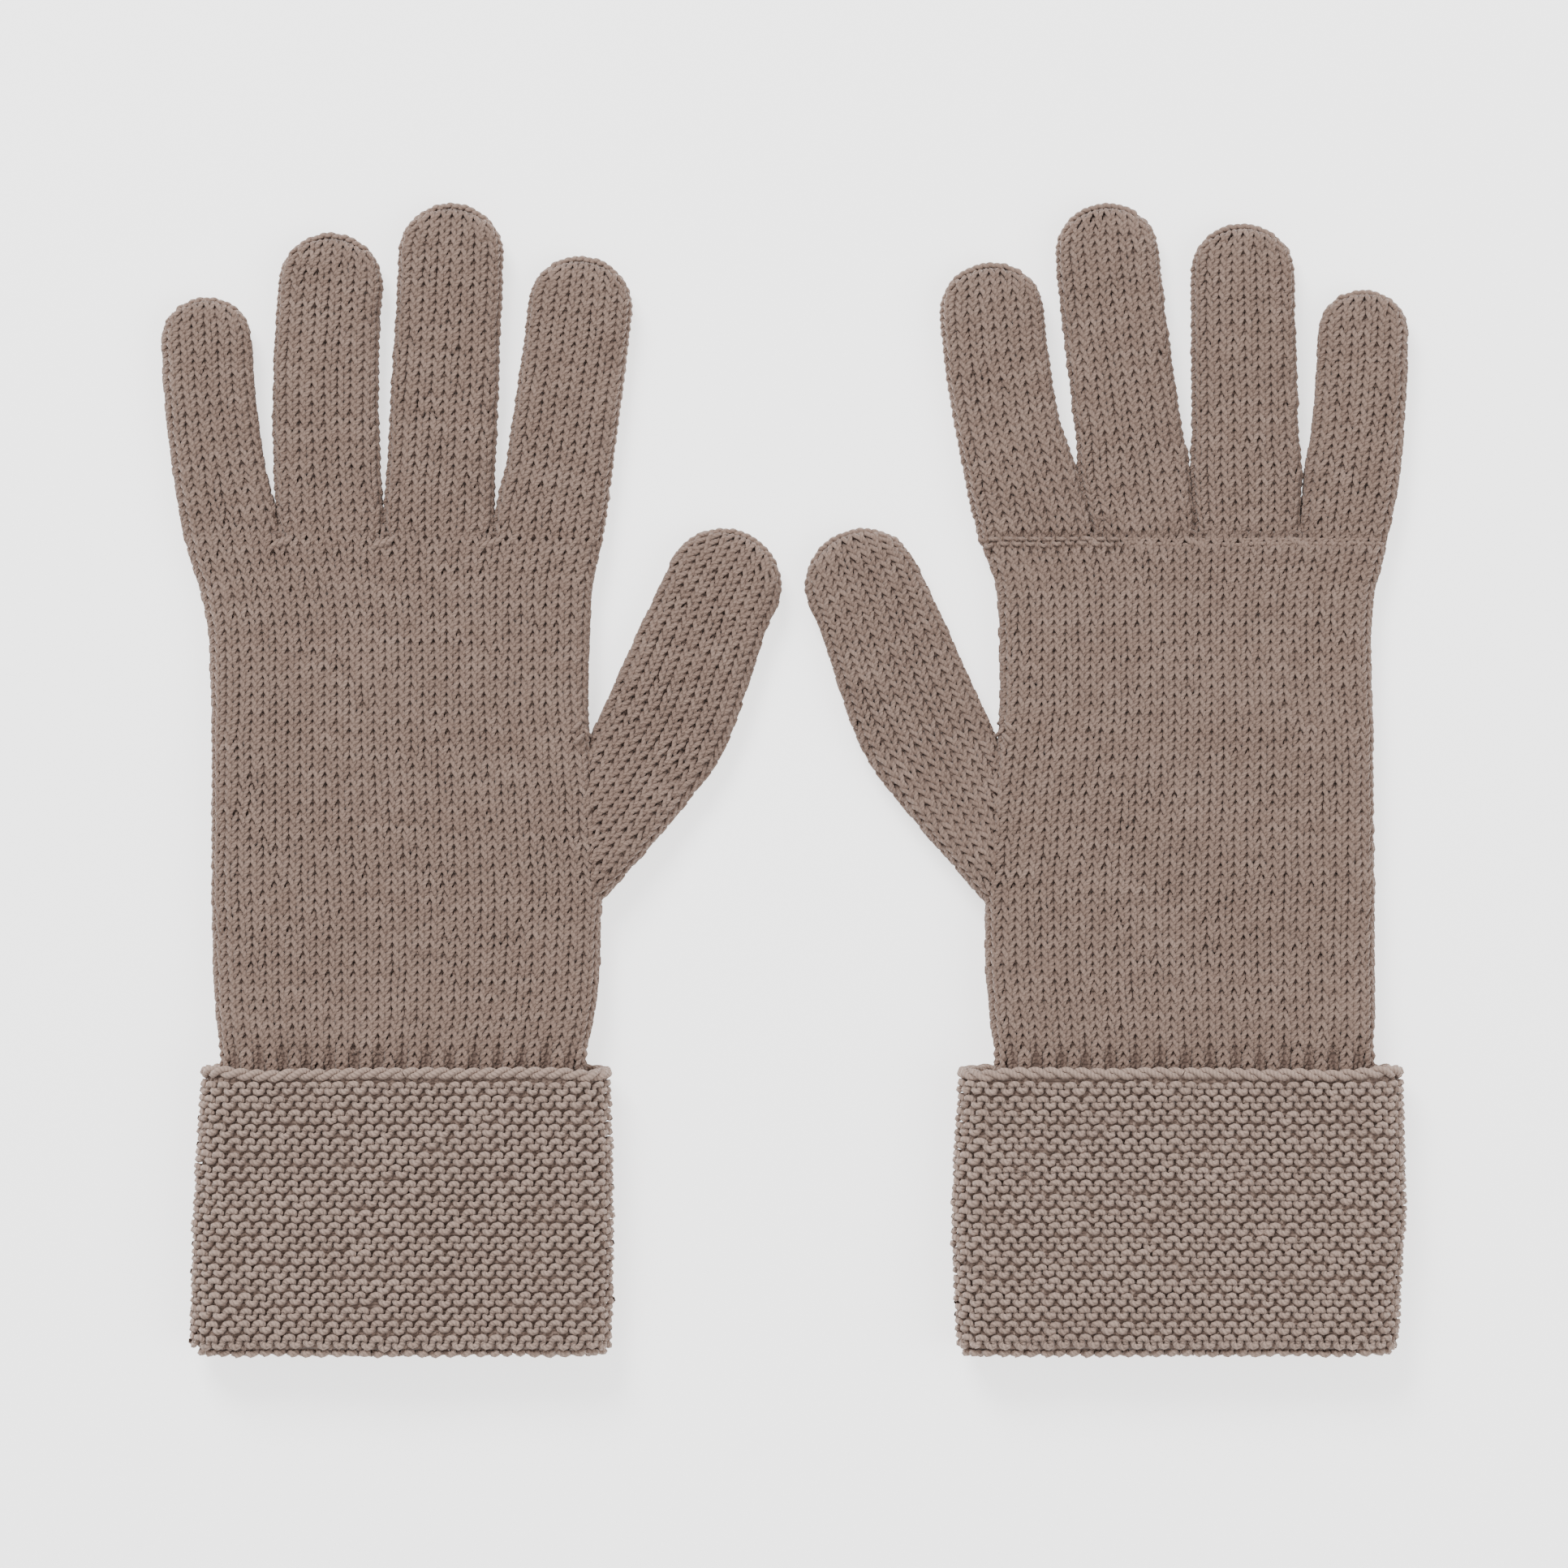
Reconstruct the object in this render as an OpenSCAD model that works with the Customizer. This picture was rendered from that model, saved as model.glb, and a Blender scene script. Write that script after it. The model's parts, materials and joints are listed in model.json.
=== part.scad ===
// A pair of hand-length knitted gloves, lying flat with the palms up.
// Every stall, cuff and joining row is a hollow flattened tube, skinned over rings of points.
// Millimetres. X runs across the pair, Y towards the fingertips, Z up from the table.

/* [Size] */
// Breadth of the flat hand just below the thumb
hand_breadth = 96.6; // [90:0.2:104]
// Length from the fold of the cuff to the tip of the left middle finger
glove_length = 284; // [268:1:300]
// Space between the two thumbs
thumb_space = 6; // [2:0.5:40]

/* [Knit] */
// Thickness of the plain knitted fabric
knit_wall = 2.4; // [2:0.1:2.6]
// Thickness of the ridged cuff fabric
cuff_wall = 3; // [2.6:0.1:3.4]
// How far a joining row stands above the fabric
row_relief = 0.3; // [0.1:0.1:0.5]

/* [Depth] */
// Outer depth of a finger lying on the table
finger_depth = 9.6; // [9.2:0.1:11]
// Outer depth of the hand at its fullest
palm_depth = 13; // [12.4:0.1:15]
// Outer depth of the wrist inside the cuff
wrist_depth = 12.2; // [12:0.1:13.5]

/* [Joints] */
// Clear gap between two parts that fold against each other
fold_gap = 0.3; // [0.2:0.05:0.5]
// Length of each stall that stays with the hand, below its knuckle
base_length = 9; // [8:0.5:10]

/* [Hidden] */
SIDES = ["left", "right"];
STALLS = ["little", "ring", "middle", "index", "thumb"];
STALL_PARTS = ["base", "middle", "tip", "closure"];
HAND_PARTS = ["hand", "finger_join", "thumb_join", "wrist_row", "cuff_inner", "cuff_outer", "cuff_edge"];

taupe = [0.62, 0.54, 0.48];
pale_taupe = [0.66, 0.58, 0.52];

// The outlines below are drawn for this breadth and length, and graded to the size wanted.
drawn_breadth = 96.6;
drawn_length = 284;
kx = hand_breadth / drawn_breadth;
ky = glove_length / drawn_length;
function grade(p) = [p.x * kx, p.y * ky];

// Heights above the table. The hand lies on it, and climbs to where the cuff's two layers hold it up.
table_clear = row_relief;
layer_gap = 0.3;
inner_bottom = cuff_wall + layer_gap;
inner_top = inner_bottom + wrist_depth;
finger_top = table_clear + finger_depth;
palm_top = table_clear + palm_depth;

// Levels along the glove, from the fold of the cuff.
fold_depth = 3;
edge_height = 2.6;
cuff_height = 71.6 * ky;
row_height = 4;
hand_start = cuff_height + row_height;
join_height = 1.6;
crotch_y = 201 * ky;
hand_end = crotch_y - join_height;
knuckle_y = crotch_y + base_length;

// The opening in the hand's thumb edge, and the width that the joining row takes there.
seam_low = grade([44.4, 114]);
seam_high = grade([41, 154]);
thumb_row = 1.6;
thumb_root = grade([61, 149.6]);
thumb_lean = 25;
thumb_length = 57.6 * ky;
thumb_width = 29.6 * kx;
thumb_root_width = 30.6 * kx;

// The four fingers of each glove, little finger first: two edges at the crotch line, length, width,
// and lean from +Y towards +X at root and at tip, in degrees.
finger_stalls = [
    [
        [-55, -31.2, 59.8, 23.4, -12.5, 0],
        [-30.6, -6, 75.6, 26.6, -6, 7.5],
        [-5.4, 20.6, 83, 26.8, 3, 2.4],
        [21.2, 48.6, 70, 26.6, 9, 6.5]
    ],
    [
        [-51.6, -29.6, 61.6, 23.4, -9, 0],
        [-29, -4.2, 78, 26.6, 1, 1],
        [-3.6, 20.4, 83, 26.6, 9.5, 5.5],
        [21, 49.6, 68.4, 26.6, 17.5, 2]
    ]
];
// Where each finger folds at its middle joint, as a share of its length.
middle_share = 0.48;

// Left and right edges of the hand at the wrist, and of the cuff at its fold, middle and free edge.
wrist_edges = [[-45.8, 44.8], [-47.8, 46.4]];
cuff_edges = [
    [[-53.4, 51.2], [-52.6, 51.6], [-50.4, 50.8]],
    [[-53.4, 55.6], [-55.8, 57], [-54.8, 55]]
];

// The hand between wrist and crotch: height, the two edges of each glove, and how far the cuff still
// holds it up, from lying on the table (0) to being level with the cuff's inner layer (1).
hand_rows = [
    [84, [[-47.2, 47.2], [-48.1, 47.6]], 0.75],
    [96, [[-48, 48.2], [-48.2, 48.6]], 0.25],
    [112, [[-48.2, 48.5], [-48.1, 48.5]], 0],
    [156, [[-48.2, 45], [-47.8, 44.8]], 0],
    [180, [[-49.3, 45.7], [-47.4, 45]], 0],
    [192, [[-52, 46.2], [-48.8, 45.8]], 0]
];

// ---- Rings and skins -------------------------------------------------------------------------

// A ring round a flattened tube. Its side edges stand over plan points a and b, and its ends are round.
function ring(a, b, low, high, count, inset = 0) =
    let (
        across = (b - a) / norm(b - a),
        tall = (high - low) / 2 - inset,
        wide = min(tall, norm(b - a) / 2 - inset),
        from = a + across * (inset + wide),
        to = b - across * (inset + wide),
        half = count / 2
    )
    [
        for (k = [0:count - 1])
            let (
                turn = -90 + 180 * (k % half) / (half - 1),
                side = k < half ? 1 : -1,
                centre = side > 0 ? to : from,
                at = centre + across * side * wide * cos(turn)
            )
            [at.x, at.y, (low + high) / 2 + side * tall * sin(turn)]
    ];

// Joins rings of the same count into one closed solid: a loop of rings, or a chain with capped ends.
module skin(rings, loop = true) {
    count = len(rings[0]);
    total = len(rings);
    spans = loop ? total : total - 1;
    corner = function(i, k) (i % total) * count + k % count;
    sides = [
        for (i = [0:spans - 1], k = [0:count - 1]) each [
            [corner(i, k), corner(i + 1, k + 1), corner(i + 1, k)],
            [corner(i, k), corner(i, k + 1), corner(i + 1, k + 1)]
        ]
    ];
    caps = loop ? [] : [
        [for (k = [count - 1:-1:0]) corner(0, k)],
        [for (k = [0:count - 1]) corner(total - 1, k)]
    ];
    polyhedron(points = [for (r = rings) each r], faces = concat(sides, caps), convexity = 6);
}

function mix(a, b, t) = a + (b - a) * t;
function reversed(list) = [for (i = [len(list) - 1:-1:0]) list[i]];

// An open tube whose wall is given by rows of [a, b, low, high].
module open_tube(rows, wall, count, swell = 0) {
    outer = [for (r = rows) ring(r[0], r[1], r[2], r[3], count, -swell)];
    inner = [for (r = rows) ring(r[0], r[1], r[2], r[3], count, wall)];
    skin(concat(outer, reversed(inner)));
}

// ---- Stalls: the four fingers and the thumb --------------------------------------------------

stall_count = 16;

// A stall is [left edge, right edge, length, width, lean at root, lean at tip]. It is drawn along +Y.
// Centre line and width at a height s above its root.
function stall_centre(stall, s) =
    (stall[0] + stall[1]) / 2 + s * tan(stall[4])
    + (tan(stall[5]) - tan(stall[4])) * s * s / (2 * stall[2]);
function ease(t) = let (u = max(0, min(1, t))) u * u * (3 - 2 * u);
function tip_radius(stall) = stall[3] / 2;
function tip_angle(stall, s) =
    let (past = (s - (stall[2] - tip_radius(stall))) / tip_radius(stall))
    past <= 0 ? 0 : asin(min(1, past));
root_length = 20;
function stall_width(stall, s) =
    let (root = stall[1] - stall[0], taper = 1.04 - 0.06 * s / stall[2])
    (root + (stall[3] * taper - root) * ease(s / root_length)) * cos(tip_angle(stall, s));
// The fabric closes down on itself towards the tip.
least_depth = 2 * knit_wall + 0.4;
function stall_depth(stall, s) =
    least_depth + (finger_depth - least_depth) * pow(cos(tip_angle(stall, s)), 0.7);
finger_centre = table_clear + finger_depth / 2;

function stall_row(stall, root_y, s) =
    let (
        middle = stall_centre(stall, s),
        half = stall_width(stall, s) / 2,
        depth = stall_depth(stall, s)
    )
    [
        [middle - half, root_y + s], [middle + half, root_y + s],
        finger_centre - depth / 2, finger_centre + depth / 2
    ];

function stall_ring(stall, root_y, s, inset = 0) =
    let (r = stall_row(stall, root_y, s)) ring(r[0], r[1], r[2], r[3], stall_count, inset);

function stall_span(stall, root_y, from, to, steps) =
    [for (i = [0:steps]) stall_row(stall, root_y, mix(from, to, i / steps))];

function stall_fold(stall) = stall[2] * middle_share;

module stall_base(stall, root_y) {
    color(taupe)
        open_tube(stall_span(stall, root_y, 0, base_length - fold_gap / 2, 1), knit_wall, stall_count);
}

module stall_middle(stall, root_y) {
    span = stall_span(
        stall, root_y, base_length + fold_gap / 2, stall_fold(stall) - fold_gap / 2, 3
    );
    color(taupe) open_tube(span, knit_wall, stall_count);
}

// The closed end: rings out along the round tip, and back inside it as a pocket.
last_turn = 78;
module stall_tip(stall, root_y) {
    start = stall_fold(stall) + fold_gap / 2;
    radius = tip_radius(stall);
    shoulder = stall[2] - radius;
    straight = [for (i = [0:3]) mix(start, shoulder, i / 3)];
    levels = concat(straight, [for (turn = [20, 40, 60, last_turn]) shoulder + radius * sin(turn)]);
    pocket = concat(straight, [for (turn = [25, 45]) shoulder + radius * sin(turn) - knit_wall / 2]);
    outer = [for (s = levels) stall_ring(stall, root_y, s)];
    inner = [for (s = pocket) stall_ring(stall, root_y, s, knit_wall)];
    color(taupe) skin(concat(reversed(inner), outer), loop = false);
}

// The end of the yarn, drawn through the last loops to close the tip.
bead_out = 0.3;
bead_rows = [[0, 0.92, 0.92], [0.6, 0.8, 0.8], [1, 0.35, 0.5]];
module stall_closure(stall, root_y) {
    radius = tip_radius(stall);
    start = stall[2] - radius + radius * sin(last_turn);
    middle = stall_centre(stall, stall[2]);
    half = stall_width(stall, start) / 2;
    bead_length = stall[2] - start + bead_out;
    rings = [
        for (r = bead_rows)
            ring(
                [middle - half * r[1], root_y + start + bead_length * r[0]],
                [middle + half * r[1], root_y + start + bead_length * r[0]],
                finger_centre - least_depth / 2 * r[2], finger_centre + least_depth / 2 * r[2],
                stall_count
            )
    ];
    color(pale_taupe) skin(rings, loop = false);
}

// ---- Hand ------------------------------------------------------------------------------------

hand_count = 28;

// Depth of the hand lying on the table: fullest over the palm, down to the finger depth at the crotch.
function flat_top(y) = mix(palm_top, finger_top, ease((y - 130 * ky) / (crotch_y - 130 * ky)));

// Rows of the hand between two heights. The wrist and crotch rows follow each glove's own width.
function hand_row(y, left, right, lift) =
    [
        [left * kx, y], [right * kx, y],
        mix(table_clear, inner_bottom, lift), mix(flat_top(y), inner_top, lift)
    ];

function crotch_edges(side) = [finger_stalls[side][0][0], finger_stalls[side][3][1]];

// The rings that the joining rows share with the hand.
function wrist_ring(side, y) = hand_row(y, wrist_edges[side][0], wrist_edges[side][1], 1);
function crotch_ring(side, y) = hand_row(y, crotch_edges(side)[0], crotch_edges(side)[1], 0);

thumb_along = (seam_high - seam_low) / norm(seam_high - seam_low);
// Straight out of the hand's thumb edge.
thumb_out = [thumb_along.y, -thumb_along.x];

// Everything on the thumb's side of the seam, between its two ends.
module thumb_opening() {
    turn = atan2(thumb_along.y, thumb_along.x) - 90;
    translate([seam_low.x, seam_low.y, -1])
        rotate([0, 0, turn])
            cube([20, norm(seam_high - seam_low), palm_top + 10]);
}

module hand(side) {
    rows = concat(
        [wrist_ring(side, hand_start)],
        [for (r = hand_rows) hand_row(r[0] * ky, r[1][side][0], r[1][side][1], r[2])],
        [crotch_ring(side, hand_end)]
    );
    color(taupe) difference() {
        open_tube(rows, knit_wall, hand_count);
        thumb_opening();
    }
}

// The row of picked-up loops that joins the stalls to the hand.
module finger_join(side) {
    rows = [crotch_ring(side, hand_end), crotch_ring(side, crotch_y)];
    color(pale_taupe) open_tube(rows, knit_wall, hand_count, row_relief);
}

// The tight row where the hand's loops are drawn together into the cuff.
module wrist_row(side) {
    rows = [wrist_ring(side, cuff_height), wrist_ring(side, hand_start)];
    color(taupe) open_tube(rows, knit_wall, hand_count);
}

// ---- Thumb -----------------------------------------------------------------------------------

thumb_stall = [-thumb_root_width / 2, thumb_root_width / 2, thumb_length, thumb_width, -4, 2];

// Places a piece drawn along +Y at the thumb's root, leaning outwards.
module at_thumb() {
    translate([thumb_root.x, thumb_root.y, 0]) rotate([0, 0, -thumb_lean]) children();
}
function thumb_point(p) =
    thumb_root + [
        p.x * cos(thumb_lean) + p.y * sin(thumb_lean), p.y * cos(thumb_lean) - p.x * sin(thumb_lean)
    ];

seam_top = flat_top(seam_low.y);

// The joining row round the thumb opening.
module thumb_join() {
    rows = [
        for (out = [0, thumb_row])
            [seam_high + thumb_out * out, seam_low + thumb_out * out, table_clear, seam_top]
    ];
    color(pale_taupe) open_tube(rows, knit_wall, stall_count);
}

// The thumb's first courses: straight out past the hand's edge, then fanned round to the thumb's lean.
gusset_inner = [grade([46.4, 153.2]), grade([46.6, 154.4])];
gusset_outer = [grade([50.4, 114.8]), grade([64.4, 129.4])];
gusset_top = [seam_top, mix(seam_top, finger_top, 0.6)];
module thumb_base() {
    clear = thumb_along * fold_gap;
    out = thumb_out * (thumb_row + fold_gap);
    root = [for (end = [0, 1]) thumb_point([thumb_stall[end], 0])];
    last = stall_row(thumb_stall, 0, base_length - fold_gap / 2);
    rows = [
        [seam_high - clear + out, seam_low + clear + out, table_clear, seam_top],
        for (i = [0, 1]) [gusset_inner[i], gusset_outer[i], table_clear, gusset_top[i]],
        [root[0], root[1], table_clear, finger_top],
        [thumb_point(last[0]), thumb_point(last[1]), last[2], last[3]]
    ];
    color(taupe) open_tube(rows, knit_wall, stall_count);
}

// ---- Cuff ------------------------------------------------------------------------------------

cuff_count = 28;

// Edges of the turned-back cuff at a height, drawn through its fold, middle and free edge.
function cuff_edge_at(side, y, end) =
    let (e = cuff_edges[side], t = y / cuff_height)
    kx * (t < 0.5 ? mix(e[0][end], e[1][end], 2 * t) : mix(e[1][end], e[2][end], 2 * t - 1));
outer_top = 2 * inner_bottom + wrist_depth;
function cuff_ring(side, y, inset) =
    ring([cuff_edge_at(side, y, 0), y], [cuff_edge_at(side, y, 1), y], 0, outer_top, cuff_count, inset);

// Both layers of the fold in section, as [height, depth below the outer face].
fold_inside = 2 * cuff_wall + layer_gap;
module cuff_outer(side) {
    profile = [
        [fold_depth, 0], [cuff_height / 2, 0], [cuff_height - edge_height, 0],
        [cuff_height - edge_height, cuff_wall], [cuff_height / 2, cuff_wall], [fold_depth, cuff_wall],
        [fold_depth, fold_inside], [1, fold_inside - 0.8], [0, fold_inside - 2.2], [0, 2.2], [1, 0.8]
    ];
    color(pale_taupe) skin([for (p = profile) cuff_ring(side, p.x, p.y)]);
}

// The chain of cast-on loops along the free edge.
module cuff_edge(side) {
    profile = [
        [cuff_height - edge_height, 0], [cuff_height - 0.6, 0], [cuff_height, 0.8],
        [cuff_height, cuff_wall - 0.6], [cuff_height - edge_height, cuff_wall]
    ];
    color(pale_taupe) skin([for (p = profile) cuff_ring(side, p.x, p.y)]);
}

// The layer inside the turned-back one, which passes clear through it, and narrows to the wrist.
module cuff_inner(side) {
    left = kx * max([for (e = cuff_edges[side]) e[0]]) + inner_bottom;
    right = kx * min([for (e = cuff_edges[side]) e[1]]) - inner_bottom;
    rows = [
        for (y = [fold_depth + layer_gap, cuff_height / 2, cuff_height - 12])
            [[left, y], [right, y], inner_bottom, inner_top],
        wrist_ring(side, cuff_height)
    ];
    color(taupe) open_tube(rows, cuff_wall, cuff_count);
}

// ---- The pair --------------------------------------------------------------------------------

// How far each glove reaches past its own middle: to its little finger, and to its thumb.
outer_reach = [60.96 * kx, 56.78 * kx];
inner_reach = 92.46 * kx;
pair_half = (outer_reach[0] + outer_reach[1] + 2 * inner_reach + thumb_space) / 2;

// Places a glove whose thumb points to +X and whose fold lies on the X axis. The second one is mirrored.
module placed(side) {
    x = side == 0 ? outer_reach[0] - pair_half : pair_half - outer_reach[1];
    translate([x, -(glove_length + bead_out) / 2, 0]) mirror([side, 0, 0]) children();
}

function graded(stall) =
    [stall[0] * kx, stall[1] * kx, stall[2] * ky, stall[3] * kx, stall[4], stall[5]];

for (side = [0, 1]) {
    glove = str(SIDES[side], "_");
    placed(side) hand(side);
    placed(side) finger_join(side);
    placed(side) thumb_join();
    placed(side) wrist_row(side);
    placed(side) cuff_inner(side);
    placed(side) cuff_outer(side);
    placed(side) cuff_edge(side);
    for (i = [0:3]) {
        name = str(glove, STALLS[i]);
        stall = graded(finger_stalls[side][i]);
        placed(side) stall_base(stall, crotch_y);
        placed(side) stall_middle(stall, crotch_y);
        placed(side) stall_tip(stall, crotch_y);
        placed(side) stall_closure(stall, crotch_y);
    }
    name = str(glove, "thumb");
    placed(side) thumb_base();
    placed(side) at_thumb() stall_middle(thumb_stall, 0);
    placed(side) at_thumb() stall_tip(thumb_stall, 0);
    placed(side) at_thumb() stall_closure(thumb_stall, 0);
}
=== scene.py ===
# %% [markdown]
# # A pair of knitted gloves
# Two wool gloves lie flat with their palms up. The hands and fingers are plain knitting, and each
# cuff is ridged garter stitch, turned back over itself. A picture of stitches on a smooth shape
# would look flat at the edges, so every stitch here is a real loop of yarn: a tube swept along a
# curve that rises, leans and dives as a knitted loop does.

# %% The fixed frame
import json
import math

import bpy
import numpy as np
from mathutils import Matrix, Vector


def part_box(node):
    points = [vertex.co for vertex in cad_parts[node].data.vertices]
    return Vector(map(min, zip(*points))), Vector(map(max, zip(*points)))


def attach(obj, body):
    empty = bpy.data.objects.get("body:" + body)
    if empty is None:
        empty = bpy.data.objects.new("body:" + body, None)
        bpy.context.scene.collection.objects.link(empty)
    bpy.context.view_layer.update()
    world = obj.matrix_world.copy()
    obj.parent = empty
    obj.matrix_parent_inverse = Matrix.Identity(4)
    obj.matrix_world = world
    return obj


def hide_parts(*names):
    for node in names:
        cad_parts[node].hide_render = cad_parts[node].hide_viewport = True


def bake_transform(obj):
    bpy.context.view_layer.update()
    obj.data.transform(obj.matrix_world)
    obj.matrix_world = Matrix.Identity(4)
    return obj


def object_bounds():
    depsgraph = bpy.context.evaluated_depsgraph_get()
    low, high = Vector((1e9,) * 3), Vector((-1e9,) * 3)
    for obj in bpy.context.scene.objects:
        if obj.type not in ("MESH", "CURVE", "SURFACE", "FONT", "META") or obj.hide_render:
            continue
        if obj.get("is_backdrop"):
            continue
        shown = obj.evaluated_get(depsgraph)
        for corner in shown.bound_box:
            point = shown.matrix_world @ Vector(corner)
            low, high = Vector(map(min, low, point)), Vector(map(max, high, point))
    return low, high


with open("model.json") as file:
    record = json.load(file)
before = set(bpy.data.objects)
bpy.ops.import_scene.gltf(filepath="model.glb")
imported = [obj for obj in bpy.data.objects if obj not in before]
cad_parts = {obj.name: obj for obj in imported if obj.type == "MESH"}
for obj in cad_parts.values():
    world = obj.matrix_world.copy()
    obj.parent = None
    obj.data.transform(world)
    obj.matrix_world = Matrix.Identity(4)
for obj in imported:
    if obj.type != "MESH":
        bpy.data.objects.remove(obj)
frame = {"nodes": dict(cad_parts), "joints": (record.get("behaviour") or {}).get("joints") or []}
cad_low, cad_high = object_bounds()
MM = 0.001
print("frame box in mm:", [round(v / MM, 1) for v in (cad_high - cad_low)])

# %% [markdown]
# ## Camera
# The pair is seen from straight above. A long lens far away keeps the outlines as flat as they
# are on a table, where a short lens would swell whatever stands highest.

# %% Camera above the table
VIEW_WIDTH = 386.4
VIEW_MIDDLE = (-0.2, -1.4)
VIEW_LEVEL = 8
LENS = 120
SENSOR = 36

camera_data = bpy.data.cameras.new("camera")
camera_data.lens = LENS
camera_data.sensor_width = SENSOR
camera = bpy.data.objects.new("camera", camera_data)
bpy.context.scene.collection.objects.link(camera)
bpy.context.scene.camera = camera
view_distance = VIEW_WIDTH * LENS / SENSOR
camera.location = Vector((*VIEW_MIDDLE, VIEW_LEVEL + view_distance)) * MM
print("camera", round(view_distance), "mm above the gloves")

# %% [markdown]
# ## Each glove's own measure
# Both gloves are made in the same way, thumb towards +X and the fold of the cuff at Y = 0, and the
# right one is mirrored as it is set down. The outlines come from the rings of the solid frame: all
# corners at one height are one ring, and its extreme corners are the edges of the fabric.

# %% Glove coordinates
GLOVES = {"left": (-93.37, 1), "right": (97.55, -1)}
FOLD_Y = min(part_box(f"{side}_cuff_outer")[0][1] for side in GLOVES) / MM


def set_down(side, points):
    """From a glove's own millimetres to the shared frame in metres."""
    middle, turn = GLOVES[side]
    placed = points.copy()
    placed[..., 0] = middle + turn * points[..., 0]
    placed[..., 1] += FOLD_Y
    return placed * MM


def place(side, point):
    """One point of a glove in the shared frame."""
    return tuple(float(v) for v in set_down(side, np.array(point, float)))


def corners(side, *names):
    """Corners of the frame's solids, in the glove's own millimetres."""
    middle, turn = GLOVES[side]
    found = []
    for name in names:
        mesh = frame["nodes"][f"{side}_{name}"].data
        flat = np.empty(len(mesh.vertices) * 3)
        mesh.vertices.foreach_get("co", flat)
        found.append(flat.reshape(-1, 3))
    points = np.concatenate(found) / MM
    points[:, 0] = (points[:, 0] - middle) * turn
    points[:, 1] -= FOLD_Y
    return points


def rings_of(points, share=0.9):
    """Height, left and right edge, low and high of each ring, keeping the full-width ones."""
    heights = np.round(points[:, 1], 1)
    rows = []
    for height in np.unique(heights):
        ring = points[heights == height]
        low, high = ring.min(0), ring.max(0)
        rows.append((height, low[0], high[0], low[2], high[2]))
    rows = np.array(rows)
    width = rows[:, 2] - rows[:, 1]
    return rows[width > share * width.max()]


def follow(rows, column, heights, reach=5):
    """A ring measure at any height, with the corners between rings smoothed away."""
    spread = np.linspace(-reach, reach, 9)
    shifted = np.interp(heights[:, None] + spread, rows[:, 0], rows[:, column])
    return shifted.mean(1)


def ease(t):
    """A smooth step from 0 to 1."""
    t = np.clip(t, 0, 1)
    return t * t * (3 - 2 * t)


for side in GLOVES:
    rows = rings_of(corners(side, "hand"), 0.8)
    print(side, "hand rings at", rows[:, 0])

# %% [markdown]
# ## Fabric surfaces
# A glove is made of flattened tubes. `Fabric` is one of them: rings with a left and a right edge
# on the plan, a low and a high level, and round ends. Each ring is walked by its length from the
# middle of the front, so stitches laid on it keep an even width round the edges too. The surface
# runs through the middle of the fabric's thickness, so it lies a little inside the outline.

# %% Flattened tubes
RING_POINTS = 320


def ring_line(half, tall, round_right, round_left):
    """Section of a flattened tube, evenly spaced, from the middle of the front towards +X."""
    turn = np.linspace(0, math.pi / 2, 9)
    across = [0]
    up = [tall]
    for corner, sign in ((round_right, 1), (round_left, -1)):
        bend_x = half - corner + corner * np.sin(turn)
        bend_z = tall - corner + corner * np.cos(turn)
        quarter_x = np.concatenate([bend_x, bend_x[::-1]]) * sign
        quarter_z = np.concatenate([bend_z, -bend_z[::-1]])
        if sign < 0:
            quarter_x, quarter_z = quarter_x[::-1], quarter_z[::-1]
        across.extend(quarter_x)
        up.extend(quarter_z)
    across.append(0)
    up.append(tall)
    line = np.array([across, up])
    walked = np.concatenate([[0], np.cumsum(np.hypot(*np.diff(line)))])
    even = np.linspace(0, walked[-1], RING_POINTS + 1)[:-1]
    return np.interp(even, walked, line[0]), np.interp(even, walked, line[1]), walked[-1]


class Fabric:
    """A flattened tube of cloth. `start` is the height of its first ring, and rings are 1 mm apart."""

    def __init__(self, start, left, right, low, high, bend=None, corner=None, swell=None):
        count = len(left)
        self.start = start
        self.points = np.empty((count, RING_POINTS, 3))
        self.length = np.empty(count)
        for k in range(count):
            span = right[k] - left[k]
            half = np.hypot(*span) / 2
            direction = span / (2 * half)
            tall = (high[k] - low[k]) / 2
            ends = min(tall, half)
            ends_right = ends if corner is None else min(ends, corner[k])
            across, up, self.length[k] = ring_line(half, tall, ends_right, ends)
            back = 0 if bend is None else -bend[k] * (across / half) ** 2
            middle = (left[k] + right[k]) / 2
            self.points[k, :, 0] = middle[0] + across * direction[0] - back * direction[1]
            self.points[k, :, 1] = middle[1] + across * direction[1] + back * direction[0]
            self.points[k, :, 2] = (low[k] + high[k]) / 2 + up
        if swell is not None:
            self.points[:, :, 2] += swell(self.points)
        around = np.roll(self.points, -1, 1) - np.roll(self.points, 1, 1)
        along = np.gradient(self.points, axis=0)
        normal = np.cross(around, along)
        self.normals = normal / np.linalg.norm(normal, axis=2, keepdims=True)

    def measure(self, height):
        """Distance round the tube at a height."""
        return np.interp(height - self.start, np.arange(len(self.length)), self.length)

    def at(self, height, turn):
        """Point and outward direction at a height, and at a share of a turn from the front middle."""
        row = np.clip(height - self.start, 0, len(self.length) - 1.001)
        column = np.mod(turn, 1) * RING_POINTS
        i, k = row.astype(int), column.astype(int) % RING_POINTS
        a, b = (row - i)[:, None], (column - np.floor(column))[:, None]
        following = (k + 1) % RING_POINTS
        found = []
        for grid in (self.points, self.normals):
            lower = grid[i, k] * (1 - b) + grid[i, following] * b
            upper = grid[i + 1, k] * (1 - b) + grid[i + 1, following] * b
            found.append(lower * (1 - a) + upper * a)
        return found


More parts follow.
